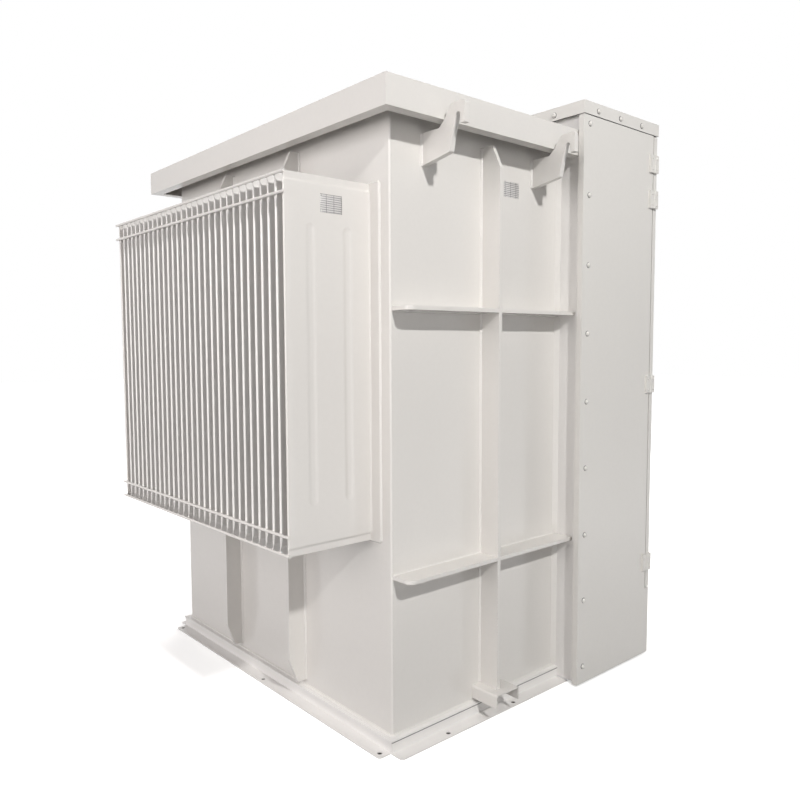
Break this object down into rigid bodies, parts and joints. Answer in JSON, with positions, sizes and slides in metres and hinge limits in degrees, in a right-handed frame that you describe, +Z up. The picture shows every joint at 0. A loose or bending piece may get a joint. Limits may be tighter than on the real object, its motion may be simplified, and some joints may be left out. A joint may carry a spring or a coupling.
{
  "type": "power transformer",
  "caption": "Oil-filled pad-mounted transformer: ribbed steel tank with a bank of cooling fins behind and a two-door cable cabinet in front.",
  "frame": {"origin": "on the ground at the middle of the whole unit's bounding box", "axes": "+Z up; -Y faces whoever stands at the cabinet doors, +Y the cooling fins at the rear; +X to the right of whoever stands at the doors"},
  "size_m": [1.966, 1.839, 2.381],
  "materials": {
    "tank_paint": "satin",
    "fin_paint": "satin",
    "cabinet_paint": "satin",
    "fittings": "satin"
  },
  "bodies": {
    "unit": {"tank_floor": "tank_paint", "tank_rear_wall": "tank_paint", "tank_front_wall": "tank_paint", "tank_left_wall": "tank_paint", "tank_right_wall": "tank_paint", "tank_cap": "tank_paint", "base_rail_left": "tank_paint", "base_rail_right": "tank_paint", "base_rail_rear": "tank_paint", "base_rail_front": "tank_paint", "side_stiffener_left": "tank_paint", "side_stiffener_right": "tank_paint", "side_shelves_left": "tank_paint", "side_shelves_right": "tank_paint", "jacking_bracket_left": "tank_paint", "jacking_bracket_right": "tank_paint", "rear_stiffeners_lower": "tank_paint", "rear_stiffeners_upper": "tank_paint", "lifting_hook_left_rear": "tank_paint", "lifting_hook_left_front": "tank_paint", "lifting_hook_right_rear": "tank_paint", "lifting_hook_right_front": "tank_paint", "fin_backing_plate": "tank_paint", "end_fin_left": "fin_paint", "end_fin_right": "fin_paint", "inner_fins": "fin_paint", "tie_rods_upper": "fin_paint", "tie_rods_lower": "fin_paint", "cabinet_back_left": "cabinet_paint", "cabinet_back_right": "cabinet_paint", "cabinet_side_left": "cabinet_paint", "cabinet_side_right": "cabinet_paint", "cabinet_hinges_left": "fittings", "cabinet_hinges_right": "fittings", "cabinet_back_top": "cabinet_paint", "cabinet_roof": "cabinet_paint", "cabinet_header": "cabinet_paint", "cabinet_sill": "cabinet_paint"},
    "left_door": {"door_left": "cabinet_paint", "door_hinges_left": "fittings"},
    "right_door": {"door_right": "cabinet_paint", "door_hinges_right": "fittings", "door_handle": "fittings"}
  },
  "joints": [
    {"name": "left_door_hinge", "type": "hinge", "parent": "unit", "child": "left_door", "pos_m": [-0.925, -0.858, 1.25], "axis": [0, 0, -1], "range_deg": [0, 110]},
    {"name": "right_door_hinge", "type": "hinge", "parent": "unit", "child": "right_door", "pos_m": [0.925, -0.858, 1.25], "axis": [0, 0, 1], "range_deg": [0, 110]}
  ]
}
